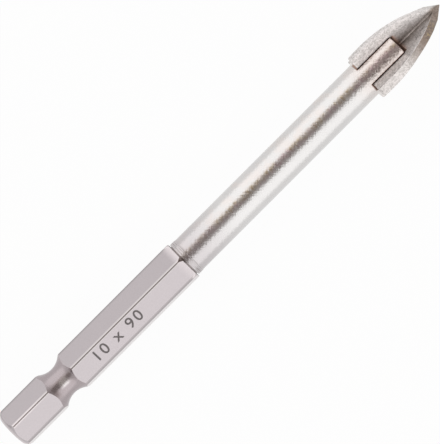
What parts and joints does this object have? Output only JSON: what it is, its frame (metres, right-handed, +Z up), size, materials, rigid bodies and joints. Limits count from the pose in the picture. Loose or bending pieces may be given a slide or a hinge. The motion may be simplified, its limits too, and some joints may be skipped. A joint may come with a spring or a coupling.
{
  "type": "drill bit",
  "caption": "Drill bit for glass and tiles: spear-shaped cross of carbide wings brazed into a round rod, with a quarter-inch hexagonal shank and power groove.",
  "frame": {"origin": "on the surface that the bit lies on, below its axis, halfway between the shank's end face and the point", "axes": "+X along the bit's axis from the shank to the point, +Z up, as the bit comes to rest on two wings with a corner of the hexagon nearly up"},
  "size_m": [0.09, 0.0078, 0.0077],
  "materials": {
    "ground_steel": "bare nickel-grey steel: satin flats on the hexagon, fine grinding marks round the rod",
    "sintered_carbide": "matte blasted tungsten carbide, with a faint straw-coloured heat tint by the point",
    "braze": "dull copper-coloured brazing alloy, dark in the gaps"
  },
  "bodies": {
    "root": {"steel_body": "ground_steel", "carbide_head": "sintered_carbide", "braze_joint": "braze"}
  },
  "joints": []
}
